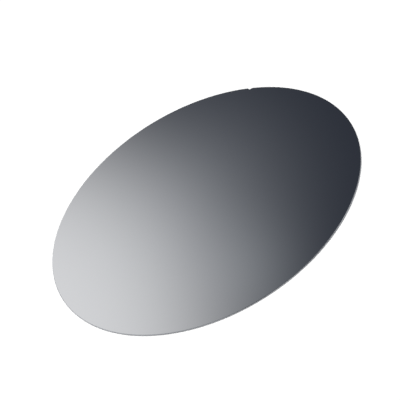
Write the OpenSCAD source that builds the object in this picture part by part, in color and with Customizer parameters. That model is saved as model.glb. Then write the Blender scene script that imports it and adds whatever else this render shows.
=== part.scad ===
// Silicon wafer: a thin disc cut from one crystal, with a ground edge and one V notch in its rim.
// Origin: centre of the back face. +Z points out of the polished face, and the notch faces -Y.

/* [Disc] */
// Diameter across the rim
wafer_d = 200; // [150:1:450]
// Thickness from the back face to the polished face
wafer_t = 0.725; // [0.65:0.005:0.95]

/* [Ground edge] */
// Angle between each bevel and the face that it runs out on
bevel_angle = 22; // [18:0.5:26]
// Distance in from the rim to the line where each bevel meets its face
bevel_w = 0.3; // [0.24:0.01:0.36]
// Radius that rounds each bevel into the rim
nose_r = 0.2; // [0.12:0.01:0.22]

/* [Notch] */
// Angle between the two flanks
notch_angle = 90; // [89:0.5:95]
// Depth from the rim to the rounded bottom
notch_depth = 1.2; // [1:0.01:1.4]
// Radius of the rounded bottom
bottom_r = 0.9; // [0.7:0.05:1.1]
// Radius of the corner that rounds each flank into the rim
corner_r = 0.9; // [0.7:0.05:1.2]

/* [Hidden] */

$fa = 2;
$fs = 0.04;

wafer_r = wafer_d / 2;

// Height above the mid-plane of the circle that rounds the nose: it touches both the rim and the bevel
nose_z = wafer_t / 2 - (nose_r + (bevel_w - nose_r) * sin(bevel_angle)) / cos(bevel_angle);

// The grinding wheel's form stands this far past each face, so that it cuts clean through
overrun = 0.05;
form_height = wafer_t + 2 * overrun;
// Beside a flank or a corner the form reaches this far out from the edge that it leaves, past the whole mouth
form_reach = 2 * notch_depth;
// Radius of the plain core that the wheel's form surrounds at the bottom of the notch
core_r = bottom_r / 2;
// The two halves of the notch overlap at the bottom by this share of a half
half_overlap = 0.5;

// Each flank leans this far from the notch's centre line
flank_angle = notch_angle / 2;
// Distance between the wafer's axis and the axis of the rounded bottom
bottom_y = wafer_r - notch_depth + bottom_r;
// Each corner stands this far proud of the rim, so that the two meet at an edge instead of fading out
corner_proud = 0.002;
// Distance between the wafer's axis and the axis of each corner
corner_y = wafer_r - corner_r + corner_proud;
// Straight length of each flank, from the end of the rounded bottom to the start of the corner
flank_length = sqrt(pow(corner_y, 2) - pow(bottom_y * sin(flank_angle) - bottom_r - corner_r, 2))
    - bottom_y * cos(flank_angle);
// Distance from the notch's centre line to the axis of each corner
corner_x = (bottom_r + corner_r) * cos(flank_angle) + flank_length * sin(flank_angle);
// Each corner meets the rim this far round the wafer from the notch's centre line
corner_turn = asin(corner_x / corner_y);

// Upper half of the edge in section: from the rim at x = 0 in to x = -length, and up from the mid-plane
module half_edge(length, height) {
    intersection() {
        translate([-length, 0]) square([length + nose_r, height]);
        translate([-nose_r, nose_z]) {
            circle(r = nose_r);
            translate([-length, -length]) square([length + nose_r, length]);
            rotate(-bevel_angle) translate([-2 * length, -2 * length])
                square([2 * length, 2 * length + nose_r]);
        }
    }
}

// The whole edge in section, symmetric about the mid-plane
module edge_section(length, height) {
    half_edge(length, height / 2);
    mirror([0, 1]) half_edge(length, height / 2);
}

// Section of the grinding wheel's form: all that it takes away beyond the edge at x = 0, out to x = reach
module form_section(reach) {
    difference() {
        translate([-form_reach, -form_height / 2]) square([form_reach + reach, form_height]);
        edge_section(2 * form_reach, form_height + overrun);
    }
}

// The disc with the same edge all round, about its mid-plane
module ground_disc() {
    rotate_extrude() translate([wafer_r, 0]) edge_section(wafer_r, wafer_t);
}

// What the wheel's form takes away on one side of the notch, measured from the axis of the rounded bottom.
// It follows the bottom from past the centre line to the flank, then the flank, then the corner.
module half_notch() {
    rotate(flank_angle) {
        rotate_extrude(angle = (90 - flank_angle) * (1 + half_overlap))
            translate([bottom_r, 0]) mirror([1, 0]) form_section(bottom_r - core_r / 2);
        translate([bottom_r, 0]) mirror([1, 0]) rotate([90, 0, 0])
            linear_extrude(flank_length) form_section(form_reach);
        translate([bottom_r + corner_r, -flank_length]) rotate(180)
            rotate_extrude(angle = 90 - flank_angle + corner_turn)
                translate([corner_r, 0]) form_section(form_reach);
    }
}

// All that is ground away for the notch, measured from the axis of the rounded bottom
module notch() {
    cylinder(r = core_r, h = form_height, center = true);
    half_notch();
    mirror([1, 0]) half_notch();
}

// The wafer, lying on its back face
module wafer() {
    color([0.60, 0.62, 0.65]) translate([0, 0, wafer_t / 2]) difference() {
        ground_disc();
        translate([0, -bottom_y]) notch();
    }
}

wafer();
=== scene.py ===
import math

import bmesh
import bpy
from mathutils import Matrix, Vector


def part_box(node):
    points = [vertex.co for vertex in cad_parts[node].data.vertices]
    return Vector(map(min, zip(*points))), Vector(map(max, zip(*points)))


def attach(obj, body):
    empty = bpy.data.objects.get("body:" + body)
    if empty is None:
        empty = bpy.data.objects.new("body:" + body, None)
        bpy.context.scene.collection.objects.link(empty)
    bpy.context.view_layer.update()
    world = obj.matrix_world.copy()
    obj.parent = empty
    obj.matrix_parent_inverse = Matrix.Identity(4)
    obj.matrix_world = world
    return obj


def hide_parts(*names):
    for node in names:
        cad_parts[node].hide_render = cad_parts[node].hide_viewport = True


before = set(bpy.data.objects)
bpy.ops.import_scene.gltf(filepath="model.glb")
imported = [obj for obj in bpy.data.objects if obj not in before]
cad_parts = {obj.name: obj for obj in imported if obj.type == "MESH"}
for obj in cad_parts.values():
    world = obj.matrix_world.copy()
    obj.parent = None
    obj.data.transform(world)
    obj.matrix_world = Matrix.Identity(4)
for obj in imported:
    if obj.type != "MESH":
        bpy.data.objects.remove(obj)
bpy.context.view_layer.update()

# A single-side polished silicon wafer, lying on its etched back on a pale studio floor.
# Origin: centre of the back face. +Z points out of the polished face, and the notch faces -Y.

# ---------------------------------------------------------------- sizes of the wafer, in millimetres

MM = 0.001
# The frame gives the disc's radius, which its solid reaches on +X, and its thickness
lowest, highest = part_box("wafer")
WAFER_R = round(highest.x / MM, 3)
WAFER_T = round((highest.z - lowest.z) / MM, 3)
BEVEL_ANGLE = math.radians(22)
BEVEL_W = 0.3
NOSE_R = 0.2
NOTCH_HALF_ANGLE = math.radians(45)
NOTCH_DEPTH = 1.2
BOTTOM_R = 0.9
CORNER_R = 0.9

# How finely the outline and the edge section are cut
RIM_POINTS = 1080
CORNER_POINTS = 14
FLANK_POINTS = 4
BOTTOM_POINTS = 10
NOSE_POINTS = 8
# Each ring of a flat face is this share of the outline at the face's own edge
FACE_RINGS = (0.985, 0.95, 0.88, 0.76, 0.6, 0.42, 0.24, 0.1)

# Places of the three finishes in the wafer's mesh
FACE_SLOT = 0
EDGE_SLOT = 1
BACK_SLOT = 2

# ---------------------------------------------------------------- finishes, with sizes in metres

FACE_TONE = (0.625, 0.640, 0.665, 1.0)
EDGE_TONE = (0.36, 0.37, 0.39, 1.0)
BACK_TONE = (0.42, 0.43, 0.44, 1.0)
# How many clouds of haze, and how many lines left by grinding, there are to a metre
HAZE_CLOUDS = 18.0
GRINDING_LINES = 60000.0
# The middle of one noise, and of two noises multiplied together
NOISE_MIDDLE = 0.5
HAZE_MIDDLE = NOISE_MIDDLE**2
# How many broad dips there are to each pit, along a line
BROAD_DIPS = 0.3

# ---------------------------------------------------------------- the camera, in metres

# The lens and the sensor are in millimetres, as on a real camera
LENS = 90.0
SENSOR = 36.0
NEAREST = 0.01
FARTHEST = 50.0
# Where it stands round the wafer, how it is rolled, and how far off the wafer's middle it aims
CAMERA_AZIMUTH = math.radians(221.29)
CAMERA_ELEVATION = math.radians(37.41)
CAMERA_ROLL = math.radians(-30.94)
CAMERA_DISTANCE = 0.59705
AIM_RIGHT = 0.00012
AIM_UP = -0.00026

# ---------------------------------------------------------------- the studio, in metres

WHITE = (1.0, 1.0, 1.0, 1.0)
FLOOR_R = 12.0
FLOOR_SIDES = 96
FLOOR_COLOUR = (0.92, 0.92, 0.92, 1.0)
FLOOR_LIFT = 0.15
ROOM_LIGHT = 0.15
KEY_LIGHT = 0.85
KEY_AZIMUTH = math.radians(50)
KEY_ELEVATION = math.radians(72)
KEY_SPREAD = math.radians(12)

TENT_R = 2.2
TENT_FINENESS = 4
TENT_DARK = (0.037, 0.042, 0.058)
TENT_POWER = 2.4
# Soft lights in the tent: azimuth and elevation in degrees, brightness, and reach as a share of TENT_R
TENT_LIGHTS = (
    (63, 11, 0.95, 0.25),
    (98, 38, 1.30, 0.50),
    (150, 42, 0.90, 0.25),
    (193, 20, 0.90, 0.27),
    (238, 22, 0.90, 0.27),
    (290, 30, 0.85, 0.30),
    (333, 26, 0.80, 0.24),
    (352, 55, 1.20, 0.25),
    (112, 74, 0.60, 0.22),
    (248, 68, 0.60, 0.18),
)

CARD_DISTANCE = 1.4
CARD_SIDES = 64
# The card is solid out to CARD_CLEAR_R and fades away to nothing at CARD_R
CARD_R = 0.55
CARD_CLEAR_R = 0.28
CARD_DARK = (0.0345, 0.040, 0.055)
# Soft lights on the card: right, up, colour, reach and power
CARD_LIGHTS = (
    (-0.336, -0.2525, (1.016, 0.997, 0.969), 0.368, 4.57),
    (0.075, -0.102, (0.083, 0.087, 0.0885), 0.077, 2.0),
    (-0.007, 0.0015, (0.146, 0.149, 0.1525), 0.144, 2.0),
)


# ---------------------------------------------------------------- the wafer's shape


def arc(centre, radius, start, end, count):
    """Points on an arc, both ends included, with angles in radians."""
    points = []
    for i in range(count + 1):
        angle = start + (end - start) * i / count
        points.append((centre[0] + radius * math.cos(angle), centre[1] + radius * math.sin(angle)))
    return points


def line(start, end, count):
    """Points on a straight line, both ends included."""
    points = []
    for i in range(count + 1):
        share = i / count
        points.append((start[0] + (end[0] - start[0]) * share, start[1] + (end[1] - start[1]) * share))
    return points


def moved(point, way, distance):
    """The point that lies that distance from another, along a unit vector."""
    return (point[0] + distance * way[0], point[1] + distance * way[1])


def outline(inset):
    """The wafer's outline with its notch, moved inwards by inset, anticlockwise from the notch's bottom."""
    lean = NOTCH_HALF_ANGLE
    along = (math.sin(lean), -math.cos(lean))
    into = (math.cos(lean), math.sin(lean))

    # The right half of the notch is the round bottom, a straight flank and the corner that meets the rim.
    bottom = (0, -(WAFER_R - NOTCH_DEPTH + BOTTOM_R))
    side = -bottom[1] * math.sin(lean) - BOTTOM_R - CORNER_R
    flank_length = math.sqrt((WAFER_R - CORNER_R) ** 2 - side**2) + bottom[1] * math.cos(lean)
    flank_start = moved(bottom, into, BOTTOM_R)
    flank_end = moved(flank_start, along, flank_length)
    corner = moved(flank_end, into, CORNER_R)
    corner_turn = math.atan2(corner[0], -corner[1])

    right = arc(bottom, BOTTOM_R + inset, math.pi / 2, math.pi / 2 - lean, BOTTOM_POINTS)
    right += line(moved(flank_start, into, inset), moved(flank_end, into, inset), FLANK_POINTS)[1:]
    right += arc(corner, CORNER_R - inset, math.pi + lean, 1.5 * math.pi + corner_turn, CORNER_POINTS)[1:]

    rim_start = -math.pi / 2 + corner_turn
    rim_end = 1.5 * math.pi - corner_turn
    rim = arc((0, 0), WAFER_R - inset, rim_start, rim_end, RIM_POINTS)[1:-1]
    left = [(-x, y) for x, y in reversed(right)]
    return right + rim + left[:-1]


def edge_section():
    """(inset, height) down the ground edge, from the polished face to the back."""
    half = WAFER_T / 2
    drop = BEVEL_W * math.tan(BEVEL_ANGLE)
    tangent = math.pi / 2 - BEVEL_ANGLE
    tangent_inset = NOSE_R * (1 - math.cos(tangent))
    tangent_height = half - drop + tangent_inset * math.tan(BEVEL_ANGLE)
    nose_height = tangent_height - NOSE_R * math.sin(tangent)
    nose = arc((NOSE_R, nose_height), NOSE_R, math.pi - tangent, math.pi, NOSE_POINTS)
    upper = [(BEVEL_W, half)] + nose
    lower = [(inset, -height) for inset, height in reversed(upper)]
    return [(inset, height + half) for inset, height in upper + lower]


def band(bm, outer, inner, slot, smooth):
    """A closed band of faces between two rings of points."""
    count = len(outer)
    for i in range(count):
        j = (i + 1) % count
        quad = bm.faces.new((outer[i], inner[i], inner[j], outer[j]))
        quad.material_index = slot
        quad.smooth = smooth


def flat_face(bm, edge, slot, upward):
    """A flat face inside a ring of points: smaller and smaller rings, then wedges to its middle."""
    height = edge[0].co.z
    outer = edge
    for share in FACE_RINGS:
        ring = [bm.verts.new((v.co.x * share, v.co.y * share, height)) for v in edge]
        if upward:
            band(bm, ring, outer, slot, False)
        else:
            band(bm, outer, ring, slot, False)
        outer = ring
    middle = bm.verts.new((0, 0, height))
    for i in range(len(outer)):
        j = (i + 1) % len(outer)
        corners = (outer[i], outer[j], middle) if upward else (outer[j], outer[i], middle)
        wedge = bm.faces.new(corners)
        wedge.material_index = slot
        wedge.smooth = False


def build_wafer(face, edge, back):
    """The whole wafer as one closed skin: ground edge, polished face and etched back."""
    mesh = bpy.data.meshes.new("silicon_wafer")
    for material in (face, edge, back):
        mesh.materials.append(material)
    bm = bmesh.new()
    rings = []
    for inset, height in edge_section():
        rings.append([bm.verts.new((x * MM, y * MM, height * MM)) for x, y in outline(inset)])
    for upper, lower in zip(rings, rings[1:]):
        band(bm, upper, lower, EDGE_SLOT, True)
    flat_face(bm, rings[0], FACE_SLOT, True)
    flat_face(bm, rings[-1], BACK_SLOT, False)
    bm.normal_update()
    bm.to_mesh(mesh)
    bm.free()
    made = bpy.data.objects.new("silicon_wafer", mesh)
    bpy.context.scene.collection.objects.link(made)
    return made


# ---------------------------------------------------------------- small helpers for materials


def add(tree, kind, **settings):
    """A new node, with its settings given by name."""
    node = tree.nodes.new(kind)
    for name, value in settings.items():
        setattr(node, name, value)
    return node


def feed(tree, socket, value):
    """Links a socket to another one, or sets it when given a plain value."""
    if isinstance(value, bpy.types.NodeSocket):
        tree.links.new(value, socket)
    else:
        socket.default_value = value


def fill(tree, node, **inputs):
    """Feeds a node's inputs by name, where underscores stand for spaces."""
    for name, value in inputs.items():
        feed(tree, node.inputs[name.replace("_", " ")], value)
    return node


def reckon(tree, operation, first, second=None, clamp=False):
    """A Math node's result from one or two inputs, each a number or a socket."""
    node = add(tree, "ShaderNodeMath", operation=operation, use_clamp=clamp)
    feed(tree, node.inputs[0], first)
    if second is not None:
        feed(tree, node.inputs[1], second)
    return node.outputs[0]


def on_surface(tree):
    """Where a point of the surface is, in the object's own metres."""
    return tree.nodes.new("ShaderNodeTexCoord").outputs["Object"]


def noise(tree, **inputs):
    """Soft noise from 0 to 1."""
    return fill(tree, add(tree, "ShaderNodeTexNoise"), **inputs).outputs["Fac"]


def swinging(tree, pattern, middle, swing, level):
    """A level that swings up and down with a pattern about the pattern's middle."""
    offset = reckon(tree, "SUBTRACT", pattern, middle)
    offset = reckon(tree, "MULTIPLY", offset, swing)
    return reckon(tree, "ADD", offset, level)


def group(name, inputs, outputs):
    """An empty shader node group with named sockets, its input node and its output node."""
    tree = bpy.data.node_groups.new(name, "ShaderNodeTree")
    for label, kind in inputs:
        tree.interface.new_socket(name=label, in_out="INPUT", socket_type=kind)
    for label, kind in outputs:
        tree.interface.new_socket(name=label, in_out="OUTPUT", socket_type=kind)
    return tree, tree.nodes.new("NodeGroupInput"), tree.nodes.new("NodeGroupOutput")


def place_group(tree, shared, **inputs):
    """A shared node group placed in a material, with that material's own values."""
    return fill(tree, add(tree, "ShaderNodeGroup", node_tree=shared), **inputs)


def new_material(name):
    """A material with no nodes but its output."""
    material = bpy.data.materials.new(name)
    material.use_nodes = True
    tree = material.node_tree
    tree.nodes.clear()
    return material, tree, tree.nodes.new("ShaderNodeOutputMaterial")


# ---------------------------------------------------------------- effects that the finishes share


def crystal_tone_group():
    """The colour of silicon, drifting a little from place to place."""
    tree, given, result = group(
        "crystal_tone",
        [("Tone", "NodeSocketColor"), ("Drift", "NodeSocketFloat"), ("Size", "NodeSocketFloat")],
        [("Color", "NodeSocketColor")],
    )
    scale = reckon(tree, "DIVIDE", 1.0, given.outputs["Size"])
    clouds = noise(tree, Vector=on_surface(tree), Scale=scale, Detail=3.0, Roughness=0.55)
    level = swinging(tree, clouds, NOISE_MIDDLE, swing=given.outputs["Drift"], level=1.0)
    scaled = add(tree, "ShaderNodeVectorMath", operation="SCALE")
    feed(tree, scaled.inputs[0], given.outputs["Tone"])
    feed(tree, scaled.inputs["Scale"], level)
    feed(tree, result.inputs["Color"], scaled.outputs[0])
    return tree


def surface_haze_group():
    """Roughness with a fine grain and broad clouds of haze on top of its own level."""
    tree, given, result = group(
        "surface_haze",
        [("Level", "NodeSocketFloat"), ("Haze", "NodeSocketFloat"), ("Grain Size", "NodeSocketFloat")],
        [("Roughness", "NodeSocketFloat")],
    )
    where = on_surface(tree)
    grain_scale = reckon(tree, "DIVIDE", 1.0, given.outputs["Grain Size"])
    grain = noise(tree, Vector=where, Scale=grain_scale, Detail=2.0)
    clouds = noise(tree, Vector=where, Scale=HAZE_CLOUDS, Detail=4.0)
    both = reckon(tree, "MULTIPLY", grain, clouds)
    level = swinging(tree, both, HAZE_MIDDLE, swing=given.outputs["Haze"], level=given.outputs["Level"])
    feed(tree, result.inputs["Roughness"], level)
    return tree


def etch_pits_group():
    """Shallow overlapping pits that acid leaves on ground silicon, as a height."""
    tree, given, result = group(
        "etch_pits",
        [("Pit Size", "NodeSocketFloat"), ("Softness", "NodeSocketFloat")],
        [("Height", "NodeSocketFloat")],
    )
    where = on_surface(tree)
    scale = reckon(tree, "DIVIDE", 1.0, given.outputs["Pit Size"])
    pits = add(tree, "ShaderNodeTexVoronoi", feature="SMOOTH_F1")
    fill(tree, pits, Vector=where, Scale=scale, Smoothness=given.outputs["Softness"])
    broad_scale = reckon(tree, "MULTIPLY", scale, BROAD_DIPS)
    dips = noise(tree, Vector=where, Scale=broad_scale, Detail=3.0)
    height = reckon(tree, "ADD", pits.outputs["Distance"], dips)
    feed(tree, result.inputs["Height"], height)
    return tree


# ---------------------------------------------------------------- the wafer's three finishes


def finish_metal(tree, output, **inputs):
    """The shader of bare silicon, which shines as a metal does."""
    shader = fill(tree, add(tree, "ShaderNodeBsdfPrincipled"), Metallic=1.0, **inputs)
    feed(tree, output.inputs["Surface"], shader.outputs[0])


def polished_face(crystal_tone, surface_haze):
    """Mirror polish: a nearly perfect mirror, with the faintest haze."""
    material, tree, output = new_material("polished_face")
    tone = place_group(tree, crystal_tone, Tone=FACE_TONE, Drift=0.02, Size=0.05)
    haze = place_group(tree, surface_haze, Level=0.025, Haze=0.02, Grain_Size=0.0004)
    finish_metal(tree, output, Base_Color=tone.outputs["Color"], Roughness=haze.outputs["Roughness"])
    return material


def ground_edge(crystal_tone, surface_haze, etch_pits):
    """The ground and etched edge: satin grey, with fine lines that run round the rim."""
    material, tree, output = new_material("ground_edge")
    tone = place_group(tree, crystal_tone, Tone=EDGE_TONE, Drift=0.12, Size=0.004)
    haze = place_group(tree, surface_haze, Level=0.14, Haze=0.12, Grain_Size=0.0002)
    pits = place_group(tree, etch_pits, Pit_Size=0.00006, Softness=0.6)
    place = add(tree, "ShaderNodeSeparateXYZ")
    fill(tree, place, Vector=on_surface(tree))
    lines = add(tree, "ShaderNodeTexNoise", noise_dimensions="1D")
    fill(tree, lines, W=place.outputs["Z"], Scale=GRINDING_LINES, Detail=2.0)
    height = reckon(tree, "ADD", lines.outputs["Fac"], pits.outputs["Height"])
    bump = add(tree, "ShaderNodeBump")
    fill(tree, bump, Strength=0.35, Distance=0.00001, Height=height)
    finish_metal(tree, output, Base_Color=tone.outputs["Color"], Roughness=haze.outputs["Roughness"],
                 Normal=bump.outputs[0])
    return material


def etched_back(crystal_tone, surface_haze, etch_pits):
    """The etched back: matt grey, faintly mottled, with a fine silky grain."""
    material, tree, output = new_material("etched_back")
    tone = place_group(tree, crystal_tone, Tone=BACK_TONE, Drift=0.24, Size=0.014)
    haze = place_group(tree, surface_haze, Level=0.48, Haze=0.16, Grain_Size=0.0003)
    pits = place_group(tree, etch_pits, Pit_Size=0.00012, Softness=0.8)
    bump = add(tree, "ShaderNodeBump")
    fill(tree, bump, Strength=0.5, Distance=0.00002, Height=pits.outputs["Height"])
    finish_metal(tree, output, Base_Color=tone.outputs["Color"], Roughness=haze.outputs["Roughness"],
                 Normal=bump.outputs[0])
    return material


# ---------------------------------------------------------------- the camera


def direction(azimuth, elevation):
    """Unit vector towards a point at that azimuth and elevation."""
    level = math.cos(elevation)
    return Vector((math.sin(azimuth) * level, -math.cos(azimuth) * level, math.sin(elevation)))


def camera_axes():
    """(right, up, back) of the rolled camera."""
    back = direction(CAMERA_AZIMUTH, CAMERA_ELEVATION)
    level_right = Vector((math.cos(CAMERA_AZIMUTH), math.sin(CAMERA_AZIMUTH), 0.0))
    level_up = back.cross(level_right)
    right = level_right * math.cos(CAMERA_ROLL) + level_up * math.sin(CAMERA_ROLL)
    up = level_up * math.cos(CAMERA_ROLL) - level_right * math.sin(CAMERA_ROLL)
    return right, up, back


def camera_place():
    """Where the camera stands, aimed a hair off the wafer's middle."""
    right, up, back = camera_axes()
    middle = Vector((0, 0, WAFER_T / 2 * MM))
    return middle + right * AIM_RIGHT + up * AIM_UP + back * CAMERA_DISTANCE


def placed(axes, place):
    """The matrix of an object with those X, Y and Z axes at that place."""
    return Matrix.Translation(place) @ Matrix(axes).transposed().to_4x4()


def build_camera():
    """A long lens that looks down on the polished face, rolled so that the wafer stands aslant."""
    data = bpy.data.cameras.new("camera")
    data.lens = LENS
    data.sensor_width = SENSOR
    data.clip_start = NEAREST
    data.clip_end = FARTHEST
    camera = bpy.data.objects.new("camera", data)
    camera.matrix_world = placed(camera_axes(), camera_place())
    bpy.context.scene.collection.objects.link(camera)
    bpy.context.scene.camera = camera


# ---------------------------------------------------------------- the floor and the room


def stage_object(name, bm, material):
    """A floor, tent or card: it stands round the wafer and isn't part of it."""
    mesh = bpy.data.meshes.new(name)
    bm.to_mesh(mesh)
    bm.free()
    mesh.materials.append(material)
    made = bpy.data.objects.new(name, mesh)
    bpy.context.scene.collection.objects.link(made)
    return made


def seen_directly(tree):
    """1 for a ray that comes from the camera, or by way of metal or glass."""
    rays = tree.nodes.new("ShaderNodeLightPath").outputs
    seen = reckon(tree, "ADD", rays["Is Camera Ray"], rays["Is Glossy Ray"], clamp=True)
    return reckon(tree, "ADD", seen, rays["Is Transmission Ray"], clamp=True)


def build_world():
    """A room that looks white and gives a little even light."""
    world = bpy.data.worlds.new("studio_room")
    world.use_nodes = True
    tree = world.node_tree
    tree.nodes.clear()
    background = add(tree, "ShaderNodeBackground")
    strength = reckon(tree, "MULTIPLY", seen_directly(tree), 1.0 - ROOM_LIGHT)
    strength = reckon(tree, "ADD", strength, ROOM_LIGHT)
    fill(tree, background, Color=WHITE, Strength=strength)
    output = tree.nodes.new("ShaderNodeOutputWorld")
    feed(tree, output.inputs["Surface"], background.outputs[0])
    bpy.context.scene.world = world


def build_floor():
    """A pale floor. What the camera and shiny surfaces see of it is lifted to white, and shadows stay."""
    material, tree, output = new_material("pale_floor")
    diffuse = add(tree, "ShaderNodeBsdfDiffuse")
    fill(tree, diffuse, Color=FLOOR_COLOUR)
    lift = add(tree, "ShaderNodeEmission")
    strength = reckon(tree, "MULTIPLY", seen_directly(tree), FLOOR_LIFT)
    fill(tree, lift, Color=WHITE, Strength=strength)
    total = add(tree, "ShaderNodeAddShader")
    feed(tree, total.inputs[0], diffuse.outputs[0])
    feed(tree, total.inputs[1], lift.outputs[0])
    feed(tree, output.inputs["Surface"], total.outputs[0])
    bm = bmesh.new()
    bmesh.ops.create_circle(bm, cap_ends=True, radius=FLOOR_R, segments=FLOOR_SIDES)
    stage_object("studio_floor", bm, material)


def build_key_lamp():
    """One broad soft light from beyond the wafer, so its thin shadow falls towards the camera."""
    data = bpy.data.lights.new("key_softbox", "SUN")
    data.energy = KEY_LIGHT * math.pi / math.sin(KEY_ELEVATION)
    data.angle = KEY_SPREAD
    lamp = bpy.data.objects.new("key_softbox", data)
    towards = direction(KEY_AZIMUTH, KEY_ELEVATION)
    lamp.rotation_mode = "QUATERNION"
    lamp.rotation_quaternion = towards.to_track_quat("Z", "Y")
    lamp.visible_glossy = False
    bpy.context.scene.collection.objects.link(lamp)


# ---------------------------------------------------------------- what the polish mirrors


def only_reflected(made):
    """It is seen in shiny surfaces, and nowhere else."""
    made.visible_camera = False
    made.visible_diffuse = False
    made.visible_shadow = False
    made.visible_volume_scatter = False


def soft_light(tree, where, place, reach, power):
    """One soft light's brightness: 1 in its middle, and falling away smoothly beyond its reach."""
    apart = add(tree, "ShaderNodeVectorMath", operation="DISTANCE")
    feed(tree, apart.inputs[0], where)
    feed(tree, apart.inputs[1], place)
    share = reckon(tree, "DIVIDE", apart.outputs["Value"], reach)
    share = reckon(tree, "POWER", share, power)
    share = reckon(tree, "MULTIPLY", share, -1.0)
    return reckon(tree, "EXPONENT", share)


def soft_lights(tree, where, dark, lights):
    """A dark colour and the soft lights on it, each given by its place, colour, reach and power."""
    base = add(tree, "ShaderNodeRGB")
    base.outputs[0].default_value = (*dark, 1.0)
    total = base.outputs[0]
    for place, colour, reach, power in lights:
        light = add(tree, "ShaderNodeVectorMath", operation="SCALE")
        feed(tree, light.inputs[0], colour)
        feed(tree, light.inputs["Scale"], soft_light(tree, where, place, reach, power))
        both = add(tree, "ShaderNodeVectorMath", operation="ADD")
        feed(tree, both.inputs[0], total)
        feed(tree, both.inputs[1], light.outputs[0])
        total = both.outputs[0]
    return total


def build_tent():
    """A dark dome round the table with several soft lights in it."""
    material, tree, output = new_material("light_tent")
    lights = []
    for azimuth, elevation, brightness, reach in TENT_LIGHTS:
        place = direction(math.radians(azimuth), math.radians(elevation)) * TENT_R
        grey = (brightness, brightness, brightness)
        lights.append((place, grey, reach * TENT_R, TENT_POWER))
    glow = add(tree, "ShaderNodeEmission")
    feed(tree, glow.inputs["Color"], soft_lights(tree, on_surface(tree), TENT_DARK, lights))
    feed(tree, output.inputs["Surface"], glow.outputs[0])
    bm = bmesh.new()
    bmesh.ops.create_icosphere(bm, subdivisions=TENT_FINENESS, radius=TENT_R)
    only_reflected(stage_object("light_tent", bm, material))


def build_card():
    """A softbox across the table that the polished face mirrors: bright at one spot and dark far from it."""
    material, tree, output = new_material("softbox_card")
    where = on_surface(tree)
    lights = []
    for right, up, colour, reach, power in CARD_LIGHTS:
        lights.append(((right, up, 0.0), colour, reach, power))
    glow = add(tree, "ShaderNodeEmission")
    feed(tree, glow.inputs["Color"], soft_lights(tree, where, CARD_DARK, lights))
    from_middle = add(tree, "ShaderNodeVectorMath", operation="LENGTH")
    feed(tree, from_middle.inputs[0], where)
    fade = add(tree, "ShaderNodeMapRange", interpolation_type="SMOOTHSTEP")
    fill(tree, fade, Value=from_middle.outputs["Value"], From_Min=CARD_CLEAR_R, From_Max=CARD_R)
    clear = tree.nodes.new("ShaderNodeBsdfTransparent")
    mix = tree.nodes.new("ShaderNodeMixShader")
    feed(tree, mix.inputs[0], fade.outputs["Result"])
    feed(tree, mix.inputs[1], glow.outputs[0])
    feed(tree, mix.inputs[2], clear.outputs[0])
    feed(tree, output.inputs["Surface"], mix.outputs[0])
    bm = bmesh.new()
    bmesh.ops.create_circle(bm, cap_ends=True, radius=CARD_R, segments=CARD_SIDES)
    card = stage_object("softbox_card", bm, material)

    # The card squarely faces the camera's mirror image below the polished face.
    flip = Matrix.Scale(-1, 3, Vector((0, 0, 1)))
    right, up, back = [flip @ axis for axis in camera_axes()]
    eye = camera_place()
    eye.z = 2 * WAFER_T * MM - eye.z
    card.matrix_world = placed((right, up, right.cross(up)), eye - back * CARD_DISTANCE)
    only_reflected(card)


# ---------------------------------------------------------------- put it together

build_camera()
build_world()
build_floor()
build_tent()
build_card()
build_key_lamp()

crystal_tone = crystal_tone_group()
surface_haze = surface_haze_group()
etch_pits = etch_pits_group()
wafer = build_wafer(
    polished_face(crystal_tone, surface_haze),
    ground_edge(crystal_tone, surface_haze, etch_pits),
    etched_back(crystal_tone, surface_haze, etch_pits),
)
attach(wafer, "root")
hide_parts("wafer")

bpy.context.scene.view_settings.view_transform = "Standard"
